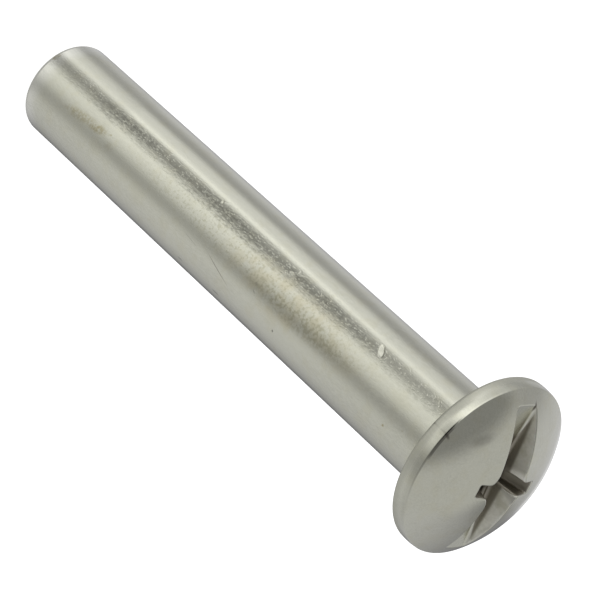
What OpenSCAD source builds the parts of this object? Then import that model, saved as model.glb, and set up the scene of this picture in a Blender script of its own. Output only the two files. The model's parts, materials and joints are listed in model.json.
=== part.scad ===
// Barrel nut: a round barrel with a blind threaded hole in its open end, and a truss head
// with a slot and a cross recess. It stands on its open end, and Z runs up to the crown.

/* [Barrel] */
// Nominal diameter of the thread in the open end
thread_d = 6; // [4:0.5:10]
// Pitch of the thread
thread_pitch = 1; // [0.5:0.05:1.5]
// Wall between the thread and the outside of the barrel
wall = 1; // [0.8:0.05:2.5]
// Length of the barrel, from the open end to the underside of the head
barrel_len = 50; // [25:1:100]
// Solid length between the full width of the bore and the underside of the head
end_solid = 14; // [4:0.5:20]
// Point angle of the bore's conical end
point_angle = 118; // [90:1:140]
// Width of the countersink that shows around the thread at the open end
mouth_lip = 0.15; // [0.05:0.05:0.3]
// Radius of the outer edge of the open end
tail_round = 0.5; // [0.1:0.05:0.5]
// Radius of the fillet between the barrel and the head
neck_fillet = 0.3; // [0.1:0.05:1]

/* [Head] */
// Overhang of the head past the barrel
head_lip = 3; // [2:0.1:6]
// Height of the rim, from the underside of the head to the crease
rim_h = 1.45; // [0.8:0.05:2.5]
// Height of the dome, from the crease to the crown
dome_h = 2.45; // [1.5:0.05:4]
// Swell of the rim past its edges
rim_swell = 0.06; // [0.02:0.01:0.2]
// Radius of the lower edge of the rim
rim_edge = 0.4; // [0.05:0.05:0.4]
// Radius of the crease between the rim and the dome
crease_round = 0.2; // [0.05:0.05:0.3]

/* [Drive] */
// Width of the slot at the middle of its floor
slot_w = 1.75; // [1:0.05:2.4]
// Lean of the slot walls from the axis
slot_draft = 13; // [0:0.5:15]
// Distance from each end of the slot to the side of the head
slot_margin = 1; // [0.6:0.1:3]
// Fall of the slot floor, from its ends to the middle
slot_fall = 0.5; // [0:0.05:1.2]
// Span of the cross from tip to tip, where it meets the dome
cross_span = 5.4; // [3.6:0.1:7]
// Width of each wing of the cross
cross_w = 1.1; // [0.6:0.1:1.6]
// Depth of the cross under the crown
cross_depth = 3; // [2.4:0.1:3.6]
// Lean of the wing tips from the axis
wing_lean = 26.5; // [10:0.5:30]
// Diameter of the round core of the cross at the crown
core_d = 3.5; // [2:0.1:4.5]
// Diameter of the round core of the cross at the bottom
core_tip_d = 1.6; // [0.8:0.1:2]

/* [Hidden] */
$fn = 128;
// Cutters run this far past the faces that they open
past = 1;

barrel_r = thread_d / 2 + wall;
tap_r = (thread_d - thread_pitch) / 2;
bore_len = barrel_len - end_solid;
point_h = tap_r / tan(point_angle / 2);
mouth_r = thread_d / 2 + mouth_lip;

head_r = barrel_r + head_lip;
crease_z = barrel_len + rim_h;
crown_z = crease_z + dome_h;
crease_r = head_r - rim_swell;
dome_r = (crease_r * crease_r + dome_h * dome_h) / (2 * dome_h);
dome_mid = [0, crown_z - dome_r];

// The side of the rim is an arc, and its lower edge is a smaller arc that runs into it
rim_mid_z = barrel_len + rim_h / 2;
swell_r = (rim_swell * rim_swell + rim_h * rim_h / 4) / (2 * rim_swell);
swell_x = head_r - swell_r;
edge_z = barrel_len + rim_edge;
edge_x = swell_x + sqrt(pow(swell_r - rim_edge, 2) - pow(rim_mid_z - edge_z, 2));
edge_reach = (swell_r + past) / (swell_r - rim_edge);

// The crease is an arc that runs into the dome and into the side of the rim
swell_mid = [swell_x, rim_mid_z];
crease_span = norm(swell_mid - dome_mid);
crease_way = (swell_mid - dome_mid) / crease_span;
crease_dome_r = dome_r - crease_round;
crease_rim_r = swell_r - crease_round;
crease_along = (pow(crease_span, 2) + pow(crease_dome_r, 2) - pow(crease_rim_r, 2)) / (2 * crease_span);
crease_aside = sqrt(pow(crease_dome_r, 2) - pow(crease_along, 2));
crease_mid = dome_mid + crease_along * crease_way + crease_aside * [crease_way.y, -crease_way.x];
crease_to_dome = (crease_mid - dome_mid) / norm(crease_mid - dome_mid) * (crease_round + past);
crease_to_rim = (crease_mid - swell_mid) / norm(crease_mid - swell_mid) * (crease_round + past);

slot_half = head_r - slot_margin;
cut_top_z = crown_z + past;
slot_end_z = dome_z(slot_half);
slot_mid_z = slot_end_z - slot_fall;
slot_out_x = head_r + past;
slot_out_z = slot_mid_z + slot_fall * slot_out_x / slot_half;
slot_low_z = slot_mid_z - past;
slot_low_y = slot_y(slot_low_z);
slot_top_y = slot_y(cut_top_z);

cross_floor_z = crown_z - cross_depth;
tip_low_x = wing_x(cross_floor_z);
tip_top_x = wing_x(cut_top_z);

// Height of the dome at a distance from the axis
function dome_z(r) = crown_z - dome_r + sqrt(dome_r * dome_r - r * r);

// Half the width of the slot at a height
function slot_y(z) = slot_w / 2 + (z - slot_mid_z) * tan(slot_draft);

// Half the span of the cross at a height
function wing_x(z) = cross_span / 2 + (z - dome_z(cross_span / 2)) * tan(wing_lean);

module barrel_section() {
    translate([0, tail_round])
        square([barrel_r, barrel_len - tail_round]);
    square([barrel_r - tail_round, tail_round]);
    translate([barrel_r - tail_round, tail_round])
        circle(tail_round);
}

module neck_section() {
    difference() {
        translate([0, barrel_len - neck_fillet])
            square([barrel_r + neck_fillet, neck_fillet]);
        translate([barrel_r + neck_fillet, barrel_len - neck_fillet])
            circle(neck_fillet);
    }
}

module rim_section() {
    translate([0, barrel_len])
        square([edge_x, rim_h]);
    translate([edge_x, edge_z])
        circle(rim_edge);
    intersection() {
        translate(swell_mid)
            circle(swell_r);
        polygon([
            [0, edge_z],
            [edge_x, edge_z],
            [swell_x + (edge_x - swell_x) * edge_reach, rim_mid_z + (edge_z - rim_mid_z) * edge_reach],
            [head_r + past, crease_z],
            [0, crease_z]
        ]);
    }
}

module dome_section() {
    intersection() {
        translate(dome_mid)
            circle(dome_r);
        translate([0, crease_z])
            square([crease_r, dome_h]);
    }
}

module nut_section() {
    difference() {
        union() {
            barrel_section();
            neck_section();
            rim_section();
            dome_section();
        }
        polygon([
            crease_mid,
            crease_mid + crease_to_dome,
            crease_mid + crease_to_dome + crease_to_rim,
            crease_mid + crease_to_rim
        ]);
    }
    translate(crease_mid)
        circle(crease_round);
}

module bore() {
    translate([0, 0, -past])
        cylinder(h = bore_len + past, r = tap_r);
    translate([0, 0, bore_len])
        cylinder(h = point_h, r1 = tap_r, r2 = 0);
    translate([0, 0, -past])
        cylinder(h = mouth_r + past, r1 = mouth_r + past, r2 = 0);
}

module slot() {
    intersection() {
        rotate([90, 0, 0])
            linear_extrude(2 * head_r, center = true)
                polygon([
                    [0, slot_mid_z],
                    [slot_out_x, slot_out_z],
                    [slot_out_x, cut_top_z],
                    [-slot_out_x, cut_top_z],
                    [-slot_out_x, slot_out_z]
                ]);
        rotate([90, 0, 90])
            linear_extrude(2 * (slot_out_x + past), center = true)
                polygon([
                    [-slot_low_y, slot_low_z],
                    [slot_low_y, slot_low_z],
                    [slot_top_y, cut_top_z],
                    [-slot_top_y, cut_top_z]
                ]);
    }
}

module wing_pair() {
    rotate([90, 0, 0])
        linear_extrude(cross_w, center = true)
            polygon([
                [-tip_low_x, cross_floor_z],
                [tip_low_x, cross_floor_z],
                [tip_top_x, cut_top_z],
                [-tip_top_x, cut_top_z]
            ]);
}

module cross_recess() {
    for (turn = [0, 90])
        rotate(turn)
            wing_pair();
    translate([0, 0, cross_floor_z])
        cylinder(h = cross_depth, d1 = core_tip_d, d2 = core_d);
}

module barrel_nut() {
    color("silver")
        difference() {
            rotate_extrude()
                nut_section();
            bore();
            slot();
            cross_recess();
        }
}

barrel_nut();
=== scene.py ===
"""Looks of the barrel nut: its detailed mesh, plated-steel finish, studio and camera."""
import json
import math

import bpy
import numpy as np
from mathutils import Matrix, Vector


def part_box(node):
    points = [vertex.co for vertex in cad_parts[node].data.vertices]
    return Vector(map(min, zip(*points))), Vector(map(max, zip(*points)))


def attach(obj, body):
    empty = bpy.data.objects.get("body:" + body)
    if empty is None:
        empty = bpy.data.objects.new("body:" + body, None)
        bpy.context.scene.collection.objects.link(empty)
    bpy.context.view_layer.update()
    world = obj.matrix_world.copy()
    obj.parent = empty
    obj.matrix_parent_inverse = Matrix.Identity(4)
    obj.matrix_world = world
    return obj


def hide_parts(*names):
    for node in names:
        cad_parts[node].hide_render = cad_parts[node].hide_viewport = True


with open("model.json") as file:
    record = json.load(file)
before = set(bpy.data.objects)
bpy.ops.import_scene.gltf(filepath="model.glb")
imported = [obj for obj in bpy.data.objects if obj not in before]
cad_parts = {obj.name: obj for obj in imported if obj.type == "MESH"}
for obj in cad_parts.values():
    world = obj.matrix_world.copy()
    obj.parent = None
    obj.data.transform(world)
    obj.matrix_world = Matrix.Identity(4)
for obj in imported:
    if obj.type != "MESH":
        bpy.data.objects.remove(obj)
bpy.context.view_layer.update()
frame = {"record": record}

MM = 0.001

# Camera, from where the photograph was taken
CAMERA_TARGET = Vector((-0.143, 0.077, 29.91)) * MM
CAMERA_DISTANCE = 195.485 * MM
CAMERA_AZIMUTH = math.radians(-28.36)
CAMERA_ELEVATION = math.radians(35.476)
CAMERA_ROLL = math.radians(132.48)
CAMERA_LENS = 164.56
CAMERA_CLIP = 10 * MM
# Side of the nut that faces the camera; a facet is given as degrees round the axis from it
CAMERA_SIDE = CAMERA_AZIMUTH - math.pi / 2

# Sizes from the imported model; these and all sizes below are in millimetres unless said otherwise
mounts = {m["name"]: m for m in frame["record"]["mounts"]}
_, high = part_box("barrel_nut")
BARREL_R = mounts["barrel"]["dims"]["r_mm"]
TAP_R = mounts["thread"]["dims"]["r_mm"]
HEAD_Z = mounts["head_seat"]["pos_m"][2] / MM
HEAD_R = high.x / MM

# Barrel and bore
TAIL_ROUND = 0.5
NECK_FILLET = 0.3
END_SOLID = 14.0
BORE_LEN = HEAD_Z - END_SOLID
POINT_ANGLE = math.radians(118)
POINT_H = TAP_R / math.tan(POINT_ANGLE / 2)

# Thread: its run-out at the bottom of the bore, the steepness of its flanks and the width of its root
THREAD_PITCH = 1.0
THREAD_R = TAP_R + THREAD_PITCH / 2
THREAD_RUNOUT = 3.0
THREAD_LEN = BORE_LEN - THREAD_RUNOUT
THREAD_FLANK = 1.6
THREAD_ROOT = 0.3
MOUTH_LIP = 0.15
MOUTH_R = THREAD_R + MOUTH_LIP

# Head
RIM_H = 1.45
DOME_H = 2.45
RIM_SWELL = 0.06
RIM_EDGE = 0.4
CREASE_ROUND = 0.2
CREASE_R = HEAD_R - RIM_SWELL
CROWN_Z = HEAD_Z + RIM_H + DOME_H
DOME_R = (CREASE_R**2 + DOME_H**2) / (2 * DOME_H)
DOME_Z = CROWN_Z - DOME_R
SWELL_R = (RIM_SWELL**2 + RIM_H**2 / 4) / (2 * RIM_SWELL)

# Slot and cross in the dome
SLOT_W = 1.75
SLOT_MARGIN = 1.0
SLOT_HALF = HEAD_R - SLOT_MARGIN
SLOT_FALL = 0.5
SLOT_DRAFT = math.radians(13)
CROSS_SPAN = 5.4
CROSS_W = 1.1
CROSS_DEPTH = 3.0
WING_DRAFT = math.radians(3)
WING_LEAN = math.radians(26.5)
CORE_D = 3.5
CORE_TIP_D = 1.6

# Rounding of the recess: of its mouth, which changes by END_SOFT from END_SOFT_X out to the slot's ends,
# of its floors and of the corners where slot, wings and core meet
EDGE_SOFT = 0.09
END_SOFT = -0.06
END_SOFT_X = 5.0
FLOOR_SOFT = 0.22
CORNER_SOFT = 0.25

# Dents in the barrel: facet, height, half width round the barrel, half width along it, slant and depth
DENTS = (
    (-19.6, 41.2, 0.46, 0.3, 0.7, 0.13),
    (-23.5, 22.1, 0.15, 0.14, 0.3, 0.05),
    (-16.8, 31.15, 0.1, 0.3, 0, 0.035),
    (-24.3, 31.53, 0.1, 0.12, 0, 0.02),
)

# Fineness of the mesh: points round the nut and the bore, rows to each turn of the thread and in the dents
TURNS = 480
BORE_TURNS = 80
THREAD_ROWS = 10
DENT_STEP = 0.05
# Step over which the slope of a dent is taken
DENT_SLOPE_STEP = DENT_STEP / 10
# Points on each arc of the section
DOME_POINTS = 6
CREASE_POINTS = 8
RIM_POINTS = 12
EDGE_POINTS = 10
NECK_POINTS = 8
TAIL_POINTS = 12
# Patch in the middle of the dome: its radius, the half width of its grid, the half length that isn't
# stretched, the rows beside the grid and the spacing of the grid lines
PATCH_R = 6.5
PATCH_Y = 3.2
PATCH_X = 3.0
CAP_ROWS = 12
LINE_FINE = 0.03
LINE_COARSE = 0.15
LINE_GROWTH = 0.25
# Distances from the middle at which the grid lines crowd together, along the slot and across it: at the
# wings, the core, the feet of the wing tips, the slot's ends and its walls from the floor to the dome
TIP_RUN = 1.0
X_SPOTS = (CROSS_W / 2, CORE_D / 2, CROSS_SPAN / 2 - TIP_RUN, SLOT_HALF)
Y_SPOTS = (CROSS_W / 2, 0.8, 0.95, 1.1, 1.25, 1.4, CROSS_SPAN / 2)
# Search for the height of the head, and the step over which its slope is taken
SEARCH_PAST = 1.0
SEARCH_HALVINGS = 40
SLOPE_STEP = 0.002


def dome_height(r):
    return DOME_Z + math.sqrt(DOME_R**2 - r**2)


def smooth_max(a, b, k):
    """The larger of two distances, rounded off over k where they meet."""
    near = np.maximum(k - np.abs(a - b), 0) / k
    return np.maximum(a, b) + near * near * k / 4


def smooth_min(a, b, k):
    return -smooth_max(-a, -b, k)


def wing(across, along, z):
    """Distance from the walls of one pair of wings, below zero in the recess."""
    floor = CROWN_Z - CROSS_DEPTH
    side = (np.abs(across) - CROSS_W / 2 + (CROWN_Z - z) * math.tan(WING_DRAFT)) * math.cos(WING_DRAFT)
    reach = CROSS_SPAN / 2 + (z - dome_height(CROSS_SPAN / 2)) * math.tan(WING_LEAN)
    tip = (np.abs(along) - reach) * math.cos(WING_LEAN)
    return smooth_max(smooth_max(side, tip, FLOOR_SOFT), floor - z, FLOOR_SOFT)


def slot(x, y, z):
    """Distance from the walls and floor of the slot, below zero in the slot."""
    middle_z = dome_height(SLOT_HALF) - SLOT_FALL
    slope = SLOT_FALL / SLOT_HALF
    floor = (middle_z + slope * np.hypot(x, CORE_TIP_D) - z) * math.cos(math.atan(slope))
    side = (np.abs(y) - SLOT_W / 2 - (z - middle_z) * math.tan(SLOT_DRAFT)) * math.cos(SLOT_DRAFT)
    return smooth_max(side, floor, FLOOR_SOFT)


def core(x, y, z):
    """Distance from the round core of the cross, below zero in it."""
    taper = math.atan((CORE_D - CORE_TIP_D) / 2 / CROSS_DEPTH)
    r = CORE_D / 2 - (CROWN_Z - z) * math.tan(taper)
    side = (np.hypot(x, y) - r) * math.cos(taper)
    return smooth_max(side, CROWN_Z - CROSS_DEPTH - z, FLOOR_SOFT)


def head_distance(x, y, z):
    """Distance from the top of the head with its recess, below zero in the metal."""
    recess = smooth_min(slot(x, y, z), wing(x, y, z), CORNER_SOFT)
    recess = smooth_min(recess, wing(y, x, z), CORNER_SOFT)
    recess = smooth_min(recess, core(x, y, z), CORNER_SOFT)
    dome = np.sqrt(x * x + y * y + (z - DOME_Z) ** 2) - DOME_R
    near_end = np.clip((np.abs(x) - END_SOFT_X) / (SLOT_HALF - END_SOFT_X), 0, 1)
    return smooth_max(dome, -recess, EDGE_SOFT + END_SOFT * near_end)


def head_height(x, y):
    """Height of the top of the head, found by halving the span that holds it."""
    below = np.full(x.shape, CROWN_Z - CROSS_DEPTH - SEARCH_PAST)
    above = np.full(x.shape, CROWN_Z + SEARCH_PAST)
    for _ in range(SEARCH_HALVINGS):
        middle = (below + above) / 2
        solid = head_distance(x, y, middle) < 0
        below = np.where(solid, middle, below)
        above = np.where(solid, above, middle)
    return (below + above) / 2


def head_normal(x, y, z):
    step = SLOPE_STEP
    slopes = [
        head_distance(x + step, y, z) - head_distance(x - step, y, z),
        head_distance(x, y + step, z) - head_distance(x, y - step, z),
        head_distance(x, y, z + step) - head_distance(x, y, z - step),
    ]
    normal = np.stack(slopes, -1)
    return normal / np.linalg.norm(normal, axis=-1, keepdims=True)


def graded_lines(reach, spots):
    """Grid lines from -reach to reach that crowd together at the spots."""
    lines = [0.0]
    while lines[-1] < reach:
        gap = min(abs(lines[-1] - s) for s in spots)
        lines.append(lines[-1] + min(LINE_COARSE, LINE_FINE + LINE_GROWTH * gap))
    half = np.array(lines) * reach / lines[-1]
    return np.concatenate([-half[:0:-1], half])


def turns_of(count):
    return np.arange(count) * 2 * math.pi / count


class Skin:
    """Vertices, normals and faces of the nut while it is put together."""

    def __init__(self):
        self.points = []
        self.normals = []
        self.faces = []

    def add(self, points, normals):
        start = len(self.points)
        self.points.extend(map(tuple, points))
        self.normals.extend(map(tuple, normals))
        return np.arange(start, len(self.points))

    def grid(self, rows):
        """Quads between rows of vertex numbers."""
        for a, b in zip(rows, rows[1:]):
            self.faces.extend(zip(a[:-1], a[1:], b[1:], b[:-1]))

    def ring(self, r, z, normal_r, normal_z):
        turn = turns_of(TURNS)
        c, s = np.cos(turn), np.sin(turn)
        points = np.stack([r * c, r * s, np.full(TURNS, z)], 1)
        normals = np.stack([normal_r * c, normal_r * s, np.full(TURNS, normal_z)], 1)
        return self.add(points, normals)

    def join(self, first, second):
        """Quads between two rings with the same number of vertices."""
        self.faces.extend(zip(first, second, np.roll(second, -1), np.roll(first, -1)))

    def stitch(self, first, second):
        """Triangles between two rings with different numbers of vertices."""
        rings = []
        for ring in (first, second):
            at = np.array([self.points[k][:2] for k in ring])
            turn = np.arctan2(at[:, 1], at[:, 0]) % (2 * math.pi)
            order = np.argsort(turn)
            turn = turn[order]
            rings.append((ring[order], np.append(turn[1:], turn[0] + 2 * math.pi)))
        (a, a_next), (b, b_next) = rings
        i = j = 0
        while i < len(a) or j < len(b):
            here = (a[i % len(a)], b[j % len(b)])
            if j == len(b) or (i < len(a) and a_next[i] < b_next[j]):
                i += 1
                self.faces.append((*here, a[i % len(a)]))
            else:
                j += 1
                self.faces.append((*here, b[j % len(b)]))

    def mesh(self, name):
        data = bpy.data.meshes.new(name)
        points = [Vector(p) * MM for p in self.points]
        data.from_pydata(points, [], [tuple(map(int, f)) for f in self.faces])
        data.shade_smooth()
        data.normals_split_custom_set_from_vertices(self.normals)
        return data


def dome_patch(skin):
    """The middle of the dome with the recess, on grid lines that follow its walls. Returns its edge."""
    columns = graded_lines(PATCH_R, X_SPOTS)
    lines = graded_lines(PATCH_Y, Y_SPOTS)
    stretch = (np.sqrt(PATCH_R**2 - lines**2) - PATCH_X) / (PATCH_R - PATCH_X)
    outer = np.maximum(np.abs(columns) - PATCH_X, 0)
    inner = np.minimum(np.abs(columns), PATCH_X)
    x = np.sign(columns) * (inner + outer * stretch[:, None])
    y = np.broadcast_to(lines[:, None], x.shape)
    # The two caps beside the grid fan out from its long sides to the round edge
    reach = math.atan2(x[0, -1], PATCH_Y)
    turn = np.linspace(-reach, reach, len(columns))
    share = np.arange(1, CAP_ROWS + 1)[:, None] / CAP_ROWS
    cap_x = (1 - share) * x[-1] + share * PATCH_R * np.sin(turn)
    cap_y = (1 - share) * PATCH_Y + share * PATCH_R * np.cos(turn)
    x = np.concatenate([cap_x[::-1], x, cap_x])
    y = np.concatenate([-cap_y[::-1], y, cap_y])
    z = head_height(x, y)
    points = np.stack([x, y, z], -1)
    normals = head_normal(x, y, z)
    numbers = skin.add(points.reshape(-1, 3), normals.reshape(-1, 3)).reshape(x.shape)
    skin.grid(numbers)
    middle = numbers[CAP_ROWS:-CAP_ROWS]
    return np.concatenate([middle[:, -1], numbers[-1, -2:0:-1], middle[::-1, 0], numbers[0, 1:-1]])


def arc(centre, radius, start, end, count, inside=False):
    """Points and normals of an arc of the section; angles are measured from the level, in radians."""
    side = -1 if inside else 1
    made = []
    for turn in np.linspace(start, end, count):
        c, s = math.cos(turn), math.sin(turn)
        made.append((centre[0] + radius * c, centre[1] + radius * s, side * c, side * s))
    return made


def meet(a, a_r, b, b_r):
    """The outer point that is a_r from a and b_r from b, in the section."""
    span = Vector(b) - Vector(a)
    along = (span.length_squared + a_r**2 - b_r**2) / (2 * span.length)
    off = math.sqrt(a_r**2 - along**2)
    foot = Vector(a) + span.normalized() * along
    side = Vector((-span.y, span.x)).normalized() * off
    return max(foot + side, foot - side, key=lambda p: p.x)


def level_angle(centre, point):
    return math.atan2(point[1] - centre[1], point[0] - centre[0])


def head_section():
    """The section from the edge of the dome patch round the rim to the barrel."""
    dome = (0, DOME_Z)
    rim = (HEAD_R - SWELL_R, HEAD_Z + RIM_H / 2)
    crease = meet(dome, DOME_R - CREASE_ROUND, rim, SWELL_R - CREASE_ROUND)
    edge_z = HEAD_Z + RIM_EDGE
    edge_x = rim[0] + math.sqrt((SWELL_R - RIM_EDGE) ** 2 - (rim[1] - edge_z) ** 2)
    edge = (edge_x, edge_z)
    neck = (BARREL_R + NECK_FILLET, HEAD_Z - NECK_FILLET)
    dome_start = math.acos((PATCH_R + LINE_COARSE) / DOME_R)
    dome_end = level_angle(dome, crease)
    rim_start = level_angle(rim, crease)
    rim_end = level_angle(rim, edge)
    return [
        *arc(dome, DOME_R, dome_start, dome_end, DOME_POINTS),
        *arc(crease, CREASE_ROUND, dome_end, rim_start, CREASE_POINTS)[1:],
        *arc(rim, SWELL_R, rim_start, rim_end, RIM_POINTS)[1:],
        *arc(edge, RIM_EDGE, rim_end, -math.pi / 2, EDGE_POINTS)[1:],
        *arc(neck, NECK_FILLET, math.pi / 2, math.pi, NECK_POINTS, inside=True),
    ]


def tail_section():
    """The section of the rounded edge at the open end."""
    return arc((BARREL_R - TAIL_ROUND, TAIL_ROUND), TAIL_ROUND, 0, -math.pi / 2, TAIL_POINTS)


def dent_depth(turn, z):
    """Depth of the dents, each a slanted oval that deepens towards the head."""
    depth = np.zeros_like(turn)
    for facet, middle, half_arc, half_z, slant, deepest in DENTS:
        around = (turn - CAMERA_SIDE - math.radians(facet) + math.pi) % (2 * math.pi) - math.pi
        across = around * BARREL_R
        along = (z - middle - slant * across) / half_z
        inside = np.clip(1 - (across / half_arc) ** 2 - along**2, 0, 1)
        depth += deepest * np.clip(2 * inside, 0, 1) * (1 + along) / 2
    return depth


def barrel_rows(skin):
    """Rings down the barrel where it is dented; between them it is straight."""
    heights = set()
    for _, middle, half_arc, half_z, slant, _ in DENTS:
        reach = half_z + half_arc * slant + DENT_STEP
        heights.update(np.arange(middle - reach, middle + reach, DENT_STEP))
    turn = turns_of(TURNS)
    step = DENT_SLOPE_STEP
    rows = []
    for z in sorted(heights, reverse=True):
        r = BARREL_R - dent_depth(turn, z)
        along = (dent_depth(turn, z + step) - dent_depth(turn, z - step)) / (2 * step)
        around = (dent_depth(turn + step, z) - dent_depth(turn - step, z)) / (2 * step) / BARREL_R
        c, s = np.cos(turn), np.sin(turn)
        points = np.stack([r * c, r * s, np.full(TURNS, z)], 1)
        rows.append(skin.add(points, np.stack([c - around * s, s + around * c, along], 1)))
    return rows


def thread_radius(turn, z):
    """Radius of the bore's wall: a right-hand thread that fades out, opened by the countersink."""
    phase = (z / THREAD_PITCH - turn / (2 * math.pi)) % 1
    ridge = np.clip(THREAD_FLANK * np.abs(2 * phase - 1) - THREAD_ROOT, 0, 1)
    fade = np.clip((THREAD_LEN - z) / THREAD_PITCH, 0, 1)
    wall = TAP_R + (THREAD_R - TAP_R) * (1 - ridge) * fade
    return np.maximum(wall, MOUTH_R - z)


def bore_wall(skin):
    """The threaded bore and its drill point, with normals from its faces. Returns the ring at its mouth."""
    turn = turns_of(BORE_TURNS)
    steps = int(THREAD_LEN / THREAD_PITCH * THREAD_ROWS)
    rows = []
    for z in [*np.linspace(0, THREAD_LEN, steps), BORE_LEN]:
        r = thread_radius(turn, z)
        points = np.stack([r * np.cos(turn), r * np.sin(turn), np.full(BORE_TURNS, z)], 1)
        rows.append(skin.add(points, np.zeros_like(points)))
    for a, b in zip(rows, rows[1:]):
        skin.join(a, b)
    tip = skin.add([(0, 0, BORE_LEN + POINT_H)], [(0, 0, 0)])[0]
    skin.faces.extend((a, tip, b) for a, b in zip(rows[-1], np.roll(rows[-1], -1)))
    return rows[0]


def build_nut():
    skin = Skin()
    edge = dome_patch(skin)
    rings = [skin.ring(*point) for point in head_section()]
    rings += barrel_rows(skin)
    rings += [skin.ring(*point) for point in tail_section()]
    skin.stitch(edge, rings[0])
    for a, b in zip(rings, rings[1:]):
        skin.join(a, b)
    skin.stitch(rings[-1], bore_wall(skin))
    nut = bpy.data.objects.new("nut_body", skin.mesh("nut_body"))
    bpy.context.scene.collection.objects.link(nut)
    return nut


# Sockets of a Mix node that mixes colours
MIX_FIRST = 6
MIX_SECOND = 7
MIX_RESULT = 2


def grey(tone):
    return (tone, tone, tone, 1)


def metres(values):
    return [value * MM for value in values]


class Nodes:
    """Adds nodes to a tree. An input takes a value or the output of another node."""

    def __init__(self, tree):
        self.tree = tree

    def put(self, socket, value):
        if isinstance(value, bpy.types.NodeSocket):
            self.tree.links.new(value, socket)
        else:
            socket.default_value = value

    def add(self, kind, values=(), **settings):
        node = self.tree.nodes.new(kind)
        for name, value in settings.items():
            setattr(node, name, value)
        for name, value in dict(values).items():
            self.put(node.inputs[name], value)
        return node

    def calc(self, operation, a, b):
        return self.add("ShaderNodeMath", {0: a, 1: b}, operation=operation).outputs[0]

    def times(self, a, b):
        return self.calc("MULTIPLY", a, b)

    def minus(self, a, b):
        return self.calc("SUBTRACT", a, b)

    def rest(self, share):
        """What a share leaves of one."""
        return self.minus(1.0, share)

    def shift(self, vector, by):
        return self.add("ShaderNodeVectorMath", {0: vector, 1: by}, operation="SUBTRACT").outputs[0]

    def stretch(self, vector, by):
        return self.add("ShaderNodeVectorMath", {0: vector, 1: by}, operation="MULTIPLY").outputs[0]

    def turn(self, vector, angle, axis="Z_AXIS"):
        values = {"Vector": vector, "Angle": angle}
        return self.add("ShaderNodeVectorRotate", values, rotation_type=axis).outputs[0]

    def length(self, vector):
        return self.add("ShaderNodeVectorMath", {0: vector}, operation="LENGTH").outputs["Value"]

    def dot(self, vector, way):
        return self.add("ShaderNodeVectorMath", {0: vector, 1: way}, operation="DOT_PRODUCT").outputs["Value"]

    def height(self, vector):
        return self.add("ShaderNodeSeparateXYZ", {"Vector": vector}).outputs["Z"]

    def radius(self, vector):
        return self.length(self.stretch(vector, (1, 1, 0)))

    def angle(self, vector):
        """Angle round the axis from the camera's side: 0.5 there, and 0 and 1 opposite."""
        turned = self.turn(vector, -CAMERA_SIDE)
        return self.add("ShaderNodeTexGradient", {"Vector": turned}, gradient_type="RADIAL").outputs["Fac"]

    def noise(self, vector, scale, detail):
        """Noise from 0 to 1; it is drawn out where the scale has a value for each axis."""
        if isinstance(scale, tuple):
            vector = self.add("ShaderNodeMapping", {"Vector": vector, "Scale": scale}).outputs[0]
            scale = 1
        values = {"Vector": vector, "Scale": scale, "Detail": detail}
        return self.add("ShaderNodeTexNoise", values).outputs[0]

    def between(self, value, least, most):
        """From least to most, as a share goes from zero to one."""
        values = {"Value": value, "To Min": least, "To Max": most}
        return self.add("ShaderNodeMapRange", values).outputs[0]

    def ramped(self, value, start, end, least=0.0):
        """From least at start to one at end, in a straight line."""
        values = {"Value": value, "From Min": start, "From Max": end, "To Min": least}
        return self.add("ShaderNodeMapRange", values).outputs[0]

    def stepped(self, value, start, end):
        """Zero before start and one after end, with a smooth step between."""
        values = {"Value": value, "From Min": start, "From Max": end}
        return self.add("ShaderNodeMapRange", values, interpolation_type="SMOOTHSTEP").outputs[0]

    def mixed(self, share, first, second):
        """The first colour, and the second where the share is one."""
        node = self.add("ShaderNodeMix", {"Factor": share}, data_type="RGBA")
        self.put(node.inputs[MIX_FIRST], first)
        self.put(node.inputs[MIX_SECOND], second)
        return node.outputs[MIX_RESULT]

    def colour_ramp(self, value, stops, interpolation="LINEAR"):
        """Colours by their place from 0 to 1."""
        node = self.add("ShaderNodeValToRGB", {"Fac": value})
        node.color_ramp.interpolation = interpolation
        elements = node.color_ramp.elements
        for _ in stops[2:]:
            elements.new(0.5)
        for element, (at, colour) in zip(elements, stops):
            element.position = at
            element.color = colour
        return node.outputs["Color"]

    def by_height(self, z, stops):
        """A value that changes along the nut, from pairs of height and value."""
        along = self.calc("DIVIDE", z, CROWN_Z * MM)
        return self.colour_ramp(along, [(at / CROWN_Z, grey(value)) for at, value in stops])


# Colours of the plating and of its wear, with a lighter colour for the painted highlight at the open end and
# a near black for painted shade and dark spots
PLATE = (0.68, 0.68, 0.585, 1)
WARM_PLATE = (0.66, 0.65, 0.53, 1)
# Painted highlight: the lighter colour of the open end
TAIL_HIGHLIGHT = (0.84, 0.84, 0.78, 1)
TARNISH = (0.62, 0.58, 0.43, 1)
STAIN = (0.42, 0.375, 0.22, 1)
OLIVE = (0.4, 0.385, 0.27, 1)
SCRATCH = (0.22, 0.21, 0.18, 1)
GRAIN = (0.34, 0.34, 0.29, 1)
# Near black, for the painted shade in the crease and for the dark spots on the head
SHADE_AND_SPOTS = (0.07, 0.055, 0.045, 1)
# Colours of the recess: painted light on its walls near the dome, brighter than the plating, painted shade on
# its lower part and darker painted shade at its bottom
RECESS_WALL_LIGHT = (1, 0.99, 0.92, 1)
RECESS_SHADE = (0.36, 0.335, 0.28, 1)
RECESS_DEEP_SHADE = (0.06, 0.055, 0.045, 1)

# Noises of the finish: scale, by axis where the noise is drawn out along the barrel, and detail
BLOTCH_NOISE = (900, 3)
FRECKLE_NOISE = (4200, 2)
GRAIN_NOISE = ((6500, 6500, 2400), 2)
SMEAR_NOISE = ((700, 700, 150), 2)
RIDGE_NOISE = ((8000, 8000, 600), 2)
PIT_NOISE = ((7500, 7500, 3400), 1)
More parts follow.
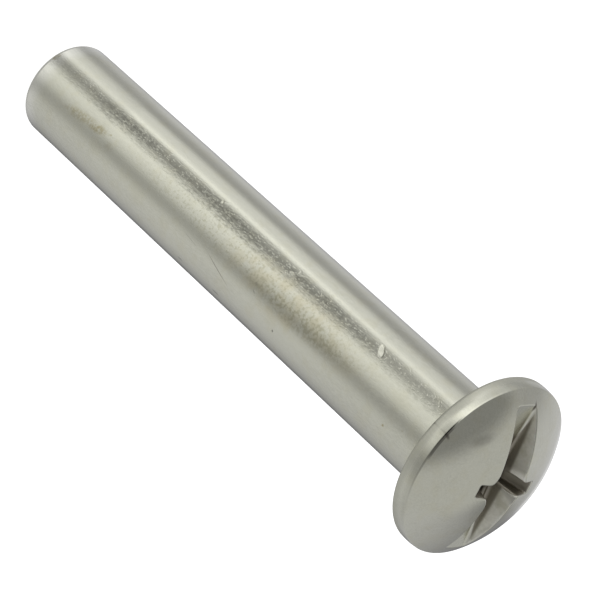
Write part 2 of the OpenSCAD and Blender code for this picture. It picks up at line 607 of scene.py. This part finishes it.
# Values of the noises between which each kind of wear sets in
WARM_AT = (0.45, 0.7)
GRAIN_AT = (0.38, 0.62)
SMEAR_AT = (0.38, 0.6)
TARNISH_AT = (0.3, 0.6)
DARKEN_AT = (0.4, 0.6)
FRECKLE_AT = (0.5, 0.66)
RAGGED_AT = (0.36, 0.6)
PIT_AT = (0.57, 0.7)
# Strength of the warm blotches, and the least strength of wear that a noise makes ragged
WARM_SHARE = 0.6
SMEAR_LEAST = 0.3
DARKEN_LEAST = 0.5
RAGGED_LEAST = 0.3

# Half the height over which the finish of the barrel passes into that of the head
HEAD_BLEND = 0.2
# Painted highlight at the open end, a lighter colour there: heights between which it fades in, and its
# strength
TAIL_HIGHLIGHT_Z = (2.2, 0.7)
TAIL_HIGHLIGHT_SHARE = 0.8

# Recess: radii between which it ends, and depths under the dome between which it starts
RECESS_REACH = (6.1, 6.3)
RECESS_START = (0.01, 0.1)
# Depths at which the painted shade starts on its walls and on its floors, how much higher that is in the
# wings across the slot, and half the depth over which it changes
SHADE_WALL = 1.25
SHADE_FLOOR = 1.35
SHADE_WING_RISE = 1.2
SHADE_SOFT = 0.12
# Rise of the painted shade towards the slot's ends, for each square millimetre of distance from the middle
SHADE_END_RISE = 0.041
# Where the wings across the slot start, beside its middle and along it
WING_X = (0.6, 0.75)
WING_Y = (1.2, 1.4)
# Depths between which the painted shade turns darker at the bottom
DEEP_SHADE_DEPTH = (1.7, 2.4)
# Roughness of the recess, and how much of it the recess as a whole and its walls take on
RECESS_ROUGH = 0.46
RECESS_MATT = 0.4
WALL_MATT = 0.6

# Dark streak along the barrel: its side, the degrees from there at which it fades in, and strength by height
STREAK_SIDE = CAMERA_SIDE + math.radians(-16)
STREAK_WIDTH = (12, 6)
STREAK_FADE = ((0, 0.15), (2, 0.35), (5, 0.65), (12, 1), (34, 1), (44, 0.5))
# Strength of the grain and of the relief, beside the streak and in it
GRAIN_SHARE = (0.12, 0.65)
RELIEF_SHARE = (0.25, 1.0)
# Height of the ridges that run along the barrel and depth of the pits between them, in metres
RIDGE_H = 7e-6
PIT_DEPTH = 6e-6

# Painted shade along the crease: radius and height of the line, half its width, and the facets between which
# it fades
CREASE_SHADE_LINE = (6.87, 51.5, 0.1)
CREASE_SHADE_FROM = (-9, -4)
CREASE_SHADE_TO = (18, 12)
CREASE_SHADE_STRENGTH = 0.55
# Dark spots on the head, the last in the corner at the slot's far end: place, half length, half width,
# direction in degrees and strength
DARK_SPOTS = (
    (-3.6, -3.6, 1.3, 0.5, 119, 0.28),
    (-3.3, -5.95, 0.28, 0.16, 28, 0.6),
    (-5.75, 0.86, 0.5, 0.16, 172, 0.85),
)
SPOT_CORE = 0.2
# Marks on the barrel: facet, height, half widths round and along the barrel, lean in degrees and strength
TARNISHED = (10, 33, 2.6, 10, 0, 0.6)
DARKENED = (14, 34.5, 1.2, 8, 0, 0.42)
FRECKLED = (4, 28, 1.5, 18, 0, 0.4)
STAINS = (
    (11, 6.6, 0.55, 2.8, -8, 0.36),
    (12.5, 5.7, 0.3, 0.8, 0, 0.4),
    (9.3, 8.6, 0.5, 1.5, -9, 0.55),
    (14.1, 8.7, 0.1, 0.14, 0, 0.4),
    (5.2, 10.1, 0.12, 0.25, -25, 0.6),
    (16, 10.6, 0.5, 0.7, 0, 0.15),
    (-19, 0.4, 0.5, 0.45, 0, 0.55),
    (36, 45, 0.15, 0.17, 0, 0.6),
    (25.6, 46.7, 0.12, 0.14, 0, 0.4),
)
SCRATCHES = (
    (34.3, 25.55, 0.06, 1.95, 19, 0.6),
    (29.8, 22.1, 0.07, 1.2, 8, 0.2),
    (44.6, 32.6, 0.15, 0.13, 0, 0.8),
    (16.2, 29.5, 0.16, 0.2, 0, 0.3),
    (24.4, 29.65, 0.06, 0.26, 33, 0.4),
    (63.8, 21.25, 0.15, 0.4, 0, 0.45),
    (64.5, 25.7, 0.17, 0.55, 0, 0.5),
)
# Reach of a mark into the barrel, and the part of its width that has its full strength
MARK_DEEP = 1.0
MARK_CORE = 0.3
# Roughness by height
GLOSS = (
    (0, 0.22), (9.3, 0.2), (10.2, 0.1), (30, 0.09), (36, 0.12), (42, 0.17), (49.7, 0.17),
    (50.1, 0.45), (50.6, 0.45), (50.95, 0.15), (53.9, 0.14),
)


class Surface:
    """Where a point of the nut lies, and the noises that several kinds of wear share."""

    def __init__(self, nodes):
        self.place = nodes.add("ShaderNodeTexCoord").outputs["Object"]
        self.r = nodes.radius(self.place)
        self.z = nodes.height(self.place)
        self.on_head = nodes.stepped(self.z, *metres((HEAD_Z - HEAD_BLEND, HEAD_Z + HEAD_BLEND)))
        self.on_barrel = nodes.rest(self.on_head)
        self.blotch = nodes.noise(self.place, *BLOTCH_NOISE)
        self.freckles = nodes.noise(self.place, *FRECKLE_NOISE)


class Recess:
    """Shares that say whether a point is in the recess, on its walls, in its painted shade or in the darker
    painted shade at its bottom.
    """

    def __init__(self, nodes, surface):
        middle = nodes.times(surface.on_head, nodes.rest(nodes.stepped(surface.r, *metres(RECESS_REACH))))
        from_dome = nodes.length(nodes.shift(surface.place, (0, 0, DOME_Z * MM)))
        depth = nodes.times(nodes.minus(DOME_R * MM, from_dome), middle)
        normal_z = nodes.height(nodes.add("ShaderNodeNewGeometry").outputs["Normal"])
        level = nodes.times(normal_z, normal_z)
        below = nodes.minus(depth, self.shade_depth(nodes, surface, level))
        self.inside = nodes.stepped(depth, *metres(RECESS_START))
        self.wall = nodes.times(self.inside, nodes.rest(level))
        self.shaded = nodes.times(self.inside, nodes.stepped(below, *metres((-SHADE_SOFT, SHADE_SOFT))))
        self.deep_shade = nodes.stepped(depth, *metres(DEEP_SHADE_DEPTH))

    def shade_depth(self, nodes, surface, level):
        """Depth at which the painted shade in the recess starts, by place and by how level its face is."""
        aside = nodes.add("ShaderNodeVectorMath", {0: surface.place}, operation="ABSOLUTE").outputs[0]
        aside = nodes.add("ShaderNodeSeparateXYZ", {"Vector": aside}).outputs
        in_wing = nodes.rest(nodes.stepped(aside["X"], *metres(WING_X)))
        in_wing = nodes.times(in_wing, nodes.stepped(aside["Y"], *metres(WING_Y)))
        rise = nodes.times(nodes.times(aside["X"], aside["X"]), SHADE_END_RISE / MM)
        on_wall = nodes.minus(SHADE_WALL * MM, rise)
        depth = nodes.between(level, on_wall, SHADE_FLOOR * MM)
        return nodes.minus(depth, nodes.times(in_wing, SHADE_WING_RISE * MM))


def barrel_mark(nodes, place, facet, z, half_arc, half_z, lean):
    """One in the middle of an oval on the barrel, and zero outside it."""
    side = CAMERA_SIDE + math.radians(facet)
    off = nodes.shift(place, metres((BARREL_R * math.cos(side), BARREL_R * math.sin(side), z)))
    off = nodes.turn(nodes.turn(off, -side), math.radians(lean), "X_AXIS")
    off = nodes.stretch(off, [1 / half for half in metres((MARK_DEEP, half_arc, half_z))])
    return nodes.stepped(nodes.length(off), 1, MARK_CORE)


def head_mark(nodes, place, x, y, half_long, half_wide, direction):
    """One in the middle of an oval on the head, seen from above, and zero outside it."""
    off = nodes.turn(nodes.shift(place, metres((x, y, 0))), -math.radians(direction))
    off = nodes.stretch(off, (1 / (half_long * MM), 1 / (half_wide * MM), 0))
    return nodes.stepped(nodes.length(off), 1, SPOT_CORE)


def facet_window(nodes, place, start, end):
    """One between two facets, given as the degrees between which it fades in and those between which it
    fades out."""
    facet = nodes.times(nodes.minus(nodes.angle(place), 0.5), 360.0)
    return nodes.times(nodes.stepped(facet, *start), nodes.stepped(facet, *end))


def streak_share(nodes, surface):
    """Strength of the dark streak along the barrel."""
    facing = nodes.dot(surface.place, (math.cos(STREAK_SIDE), math.sin(STREAK_SIDE), 0))
    edges = [math.cos(math.radians(degrees)) for degrees in STREAK_WIDTH]
    streak = nodes.stepped(nodes.calc("DIVIDE", facing, surface.r), *edges)
    streak = nodes.times(streak, surface.on_barrel)
    return nodes.times(streak, nodes.by_height(surface.z, STREAK_FADE))


def plating(nodes, surface, recess):
    """Colour of the plating on the barrel, on the head and in the recess, with painted light on the recess
    walls, painted shade lower in the recess and a painted highlight at the open end.
    """
    # Painted light: the walls of the recess take a colour brighter than the plating
    bright = nodes.mixed(recess.wall, PLATE, RECESS_WALL_LIGHT)
    # Painted shade: darker lower in the recess and darker still at its bottom
    dark = nodes.mixed(recess.deep_shade, RECESS_SHADE, RECESS_DEEP_SHADE)
    warm = nodes.times(nodes.stepped(surface.blotch, *WARM_AT), WARM_SHARE)
    colour = nodes.mixed(warm, bright, WARM_PLATE)
    colour = nodes.mixed(recess.shaded, colour, dark)
    # Painted highlight: the colour turns lighter towards the open end
    tail_highlight = nodes.times(nodes.stepped(surface.z, *metres(TAIL_HIGHLIGHT_Z)), TAIL_HIGHLIGHT_SHARE)
    return nodes.mixed(tail_highlight, colour, TAIL_HIGHLIGHT)


def add_grain(nodes, surface, streak, colour):
    """Dark specks, close together in the streak."""
    specks = nodes.ramped(nodes.noise(surface.place, *GRAIN_NOISE), *GRAIN_AT)
    smear = nodes.ramped(nodes.noise(surface.place, *SMEAR_NOISE), *SMEAR_AT, SMEAR_LEAST)
    amount = nodes.times(nodes.between(streak, *GRAIN_SHARE), smear)
    return nodes.mixed(nodes.times(specks, amount), colour, GRAIN)


def add_crease_shade_and_spots(nodes, surface, colour):
    """The painted shade in the crease and the dark spots on the head."""
    line_r, line_z, half = metres(CREASE_SHADE_LINE)
    off_r = nodes.minus(surface.r, line_r)
    off_z = nodes.minus(surface.z, line_z)
    off = nodes.length(nodes.add("ShaderNodeCombineXYZ", {"X": off_r, "Y": off_z}).outputs[0])
    # Painted shade: the crease darkens on the facets towards the camera
    crease_shade = nodes.times(nodes.stepped(off, half, half / 2), CREASE_SHADE_STRENGTH)
    crease_shade = nodes.times(crease_shade, facet_window(nodes, surface.place, CREASE_SHADE_FROM, CREASE_SHADE_TO))
    colour = nodes.mixed(crease_shade, colour, SHADE_AND_SPOTS)
    for *oval, strength in DARK_SPOTS:
        spot = head_mark(nodes, surface.place, *oval)
        spot = nodes.times(spot, nodes.times(surface.on_head, strength))
        colour = nodes.mixed(spot, colour, SHADE_AND_SPOTS)
    return colour


def add_tarnish(nodes, surface, colour):
    """The tarnish on the barrel, its dark part and the freckles in it."""
    dark = nodes.calc("ADD", nodes.stepped(surface.freckles, *DARKEN_AT), DARKEN_LEAST)
    for (*oval, strength), ragged, tint in (
        (TARNISHED, nodes.stepped(surface.blotch, *TARNISH_AT), TARNISH),
        (DARKENED, dark, OLIVE),
        (FRECKLED, nodes.stepped(surface.freckles, *FRECKLE_AT), OLIVE),
    ):
        film = nodes.times(barrel_mark(nodes, surface.place, *oval), ragged)
        colour = nodes.mixed(nodes.times(film, strength), colour, tint)
    return colour


def add_marks(nodes, surface, colour):
    """The stains, which are ragged, and the scratches on the barrel."""
    ragged = nodes.calc("ADD", nodes.stepped(surface.freckles, *RAGGED_AT), RAGGED_LEAST)
    for marks, tint, whole in ((STAINS, STAIN, ragged), (SCRATCHES, SCRATCH, 1.0)):
        worn = 0.0
        for *oval, strength in marks:
            one = nodes.times(barrel_mark(nodes, surface.place, *oval), strength)
            worn = nodes.calc("MAXIMUM", one, worn)
        colour = nodes.mixed(nodes.times(worn, whole), colour, tint)
    return colour


def roughness(nodes, surface, recess):
    gloss = nodes.by_height(surface.z, GLOSS)
    matt = nodes.calc("ADD", nodes.times(recess.inside, RECESS_MATT), nodes.times(recess.wall, WALL_MATT))
    return nodes.between(matt, gloss, RECESS_ROUGH)


def relief(nodes, surface, streak):
    """Ridges and pits of the drawn barrel, deepest in the streak."""
    ridges = nodes.times(nodes.noise(surface.place, *RIDGE_NOISE), RIDGE_H)
    pits = nodes.times(nodes.stepped(nodes.noise(surface.place, *PIT_NOISE), *PIT_AT), PIT_DEPTH)
    strength = nodes.times(nodes.between(streak, *RELIEF_SHARE), surface.on_barrel)
    values = {"Height": nodes.minus(ridges, pits), "Strength": strength, "Distance": 1.0}
    return nodes.add("ShaderNodeBump", values).outputs[0]


def plated_steel():
    """Nickel plating with the wear that the photograph shows; painted light and shade in the recess, painted
    shade along the crease and a painted highlight at the open end.
    """
    material = bpy.data.materials.new("plated_steel")
    material.use_nodes = True
    nodes = Nodes(material.node_tree)
    surface = Surface(nodes)
    recess = Recess(nodes, surface)
    streak = streak_share(nodes, surface)
    colour = plating(nodes, surface, recess)
    colour = add_grain(nodes, surface, streak, colour)
    colour = add_crease_shade_and_spots(nodes, surface, colour)
    colour = add_tarnish(nodes, surface, colour)
    colour = add_marks(nodes, surface, colour)
    shader = material.node_tree.nodes["Principled BSDF"].inputs
    nodes.put(shader["Metallic"], 1)
    nodes.put(shader["Base Color"], colour)
    nodes.put(shader["Roughness"], roughness(nodes, surface, recess))
    nodes.put(shader["Normal"], relief(nodes, surface, streak))
    return material


def add_camera():
    back = Vector((
        math.cos(CAMERA_SIDE) * math.cos(CAMERA_ELEVATION),
        math.sin(CAMERA_SIDE) * math.cos(CAMERA_ELEVATION),
        math.sin(CAMERA_ELEVATION),
    ))
    data = bpy.data.cameras.new("camera")
    data.lens = CAMERA_LENS
    data.clip_start = CAMERA_CLIP
    camera = bpy.data.objects.new("camera", data)
    bpy.context.scene.collection.objects.link(camera)
    turn = (-back).to_track_quat("-Z", "Y").to_matrix().to_4x4()
    roll = Matrix.Rotation(CAMERA_ROLL, 4, "Z")
    camera.matrix_world = Matrix.Translation(CAMERA_TARGET + back * CAMERA_DISTANCE) @ turn @ roll
    bpy.context.scene.camera = camera


# Studio: rows of tones round the nut from below to the horizon, as (degrees from the camera's side, tone)
LOW_TONES = (
    (-180, 0.3), (-152, 0.55), (-136, 0.62), (-102, 0.45), (-88, 0.77), (-72, 0.9), (-66, 1.0), (-60, 1.17),
    (-54, 0.84), (-48, 0.54), (-42, 0.42), (-36, 0.35), (-30, 0.43), (-24, 0.63), (-18, 0.8), (-10, 0.99),
    (0, 0.94), (9, 0.83), (18, 0.71), (26, 0.56), (34, 0.46), (42, 0.45), (50, 0.5), (58, 0.59), (70, 0.66),
    (84, 0.645), (98, 0.615), (114, 0.56), (128, 0.47), (144, 0.36), (160, 0.2), (180, 0.3),
)
RIM_TONES = (
    (-180, 0.78), (-176, 0.8), (-168, 0.62), (-150, 0.52), (-130, 0.45), (-110, 0.44), (-90, 0.62),
    (-70, 0.75), (-50, 1.02), (-30, 1.28), (-10, 0.65), (10, 0.78), (30, 0.43), (50, 0.39), (70, 0.52),
    (110, 0.5), (150, 0.5), (168, 0.27), (176, 0.22), (178.4, 0.28), (179.2, 0.7), (180, 0.78),
)
HORIZON_TONES = (
    (-180, 0.45), (-172, 0.58), (-160, 0.61), (-148, 0.56), (-130, 0.42), (-90, 0.6), (-50, 1.1),
    (-30, 1.28), (-18, 0.15), (10, 0.1), (32, 0.22), (54, 0.34), (76, 0.48), (120, 0.56), (146, 0.48),
    (159, 0.36), (168, 0.27), (176, 0.3), (180, 0.45),
)
# Brightest tone that a row can hold
TONE_RANGE = 2.0
# Tone below the rows
UNDER_TONE = 0.46
# Sky: a bright half and a dark one towards DARK_SIDE, and the softness of the line between them
SKY_BRIGHT = 0.55
SKY_DARK = 0.27
SKY_SOFT = 0.15
DARK_SIDE = CAMERA_SIDE + math.radians(-28)
# Elevations, in degrees, between which one row passes into the next
UNDER_TO_LOW = (-60, -45)
LOW_TO_RIM = (-34, -22)
RIM_TO_HORIZON = (-16, -6)
HORIZON_TO_SKY = (35, 50)
# Blue against green of the studio, on the camera's side and opposite
WARM = 0.98
COOL = 1.045
# Floor: half its width in metres, its tone and its glow where the camera sees it
FLOOR_REACH = 20.0
FLOOR_TONE = 0.9
FLOOR_WHITE = 0.85


def studio_colour(degrees, tone):
    """A tone of the studio, warmer on the camera's side than opposite."""
    tint = WARM + (COOL - WARM) * math.sin(math.radians(degrees) / 2) ** 2
    part = tone / TONE_RANGE
    return (part, part, part * tint, 1)


def tone_row(nodes, way, tones):
    """A row of tones round the axis."""
    stops = [(0.5 + degrees / 360, studio_colour(degrees, tone)) for degrees, tone in tones]
    row = nodes.colour_ramp(nodes.angle(way), stops, "CARDINAL")
    return nodes.add("ShaderNodeVectorMath", {0: row, "Scale": TONE_RANGE}, operation="SCALE").outputs[0]


def add_floor():
    reach = FLOOR_REACH
    data = bpy.data.meshes.new("floor")
    corners = [(-reach, -reach, 0), (reach, -reach, 0), (reach, reach, 0), (-reach, reach, 0)]
    data.from_pydata(corners, [], [(0, 1, 2, 3)])
    floor = bpy.data.objects.new("floor", data)
    bpy.context.scene.collection.objects.link(floor)
    # The metal shows the tones of the studio, which a white floor would cover
    floor.visible_glossy = False
    material = bpy.data.materials.new("floor")
    material.use_nodes = True
    nodes = Nodes(material.node_tree)
    shader = material.node_tree.nodes["Principled BSDF"].inputs
    nodes.put(shader["Base Color"], grey(FLOOR_TONE))
    nodes.put(shader["Specular IOR Level"], 0)
    nodes.put(shader["Emission Color"], grey(1))
    path = nodes.add("ShaderNodeLightPath").outputs
    seen = nodes.calc("MAXIMUM", path["Is Camera Ray"], path["Is Transmission Ray"])
    nodes.put(shader["Emission Strength"], nodes.times(seen, FLOOR_WHITE))
    material.cycles.emission_sampling = "NONE"
    data.materials.append(material)


def add_world():
    world = bpy.data.worlds.new("studio")
    world.use_nodes = True
    nodes = Nodes(world.node_tree)
    way = nodes.add("ShaderNodeTexCoord").outputs["Generated"]
    side = nodes.dot(way, (math.cos(DARK_SIDE), math.sin(DARK_SIDE), 0))
    sky = nodes.mixed(nodes.stepped(side, -SKY_SOFT, SKY_SOFT), grey(SKY_BRIGHT), grey(SKY_DARK))
    whole = grey(UNDER_TONE)
    for (start, end), row in (
        (UNDER_TO_LOW, tone_row(nodes, way, LOW_TONES)),
        (LOW_TO_RIM, tone_row(nodes, way, RIM_TONES)),
        (RIM_TO_HORIZON, tone_row(nodes, way, HORIZON_TONES)),
        (HORIZON_TO_SKY, sky),
    ):
        heights = (math.sin(math.radians(start)), math.sin(math.radians(end)))
        whole = nodes.mixed(nodes.stepped(nodes.height(way), *heights), whole, row)
    nodes.put(world.node_tree.nodes["Background"].inputs["Color"], whole)
    bpy.context.scene.world = world


nut = build_nut()
nut.data.materials.append(plated_steel())
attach(nut, "root")
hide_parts("barrel_nut")

add_camera()
add_floor()
add_world()
bpy.context.scene.view_settings.view_transform = "Standard"
